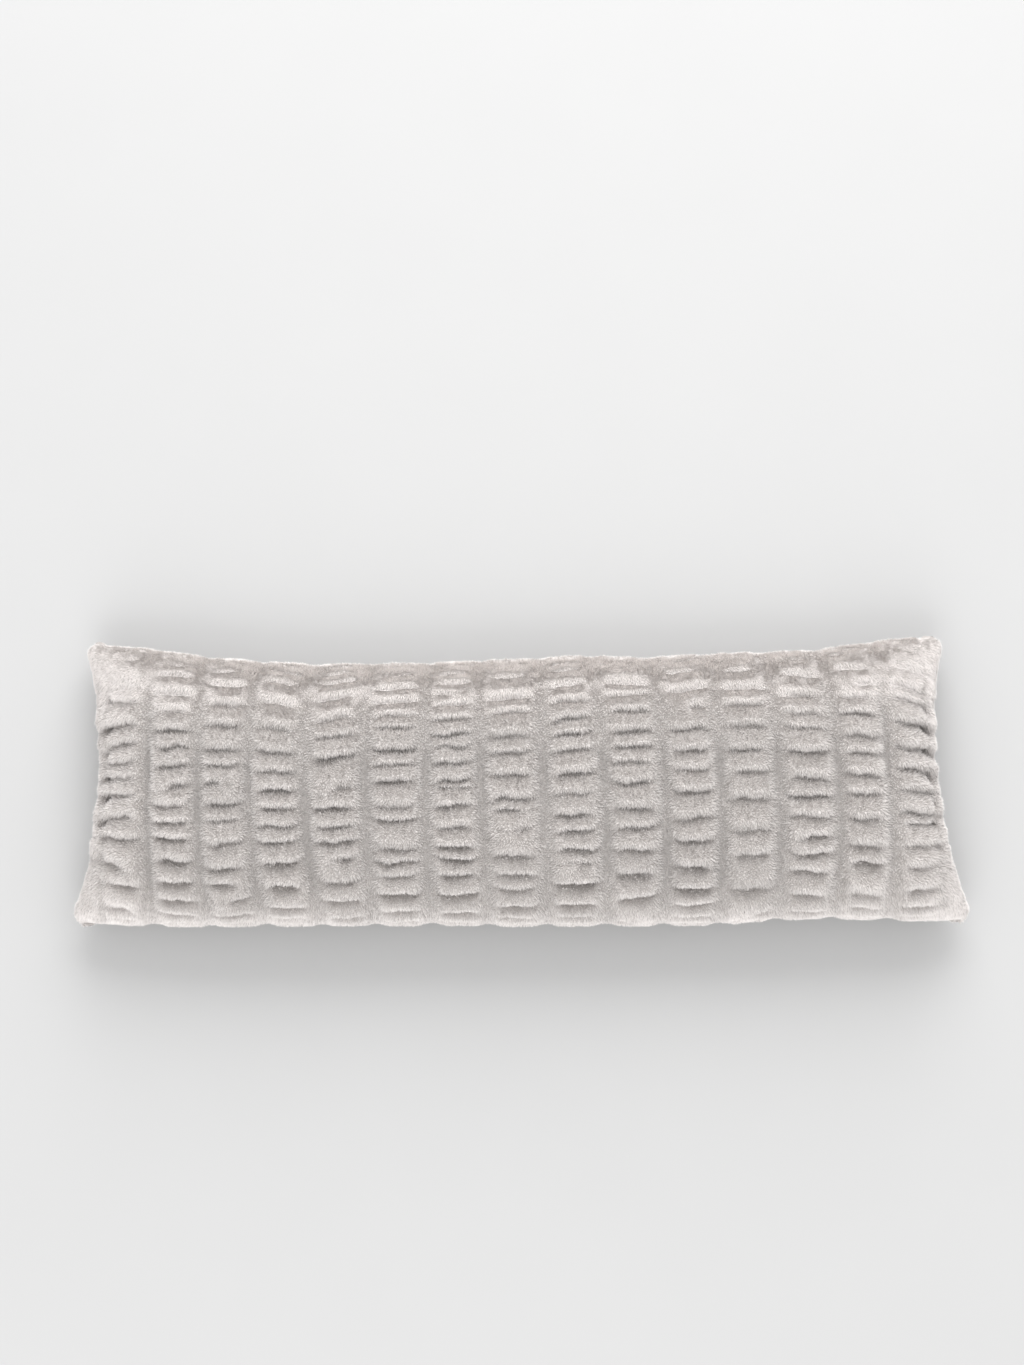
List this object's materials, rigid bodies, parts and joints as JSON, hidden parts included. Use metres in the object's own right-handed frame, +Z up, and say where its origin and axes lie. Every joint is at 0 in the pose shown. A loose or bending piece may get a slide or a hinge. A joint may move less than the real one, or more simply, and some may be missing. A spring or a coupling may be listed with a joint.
{
  "type": "body pillow",
  "caption": "Long filled body pillow with a ruched plush face, gathered in columns of puffed welts, and a plain flattened back.",
  "frame": {"origin": "centre of the pillow's plan, on the surface that its flattened back rests on", "axes": "+X along the length, +Y towards the upper long edge of the face, +Z up out of the ruched face"},
  "size_m": [1.269, 0.4138, 0.1421],
  "materials": {
    "plush": "short dense warm grey faux fur, soft and matte with a light sheen at its edges"
  },
  "bodies": {
    "root": {"pillow": "plush"}
  },
  "joints": []
}
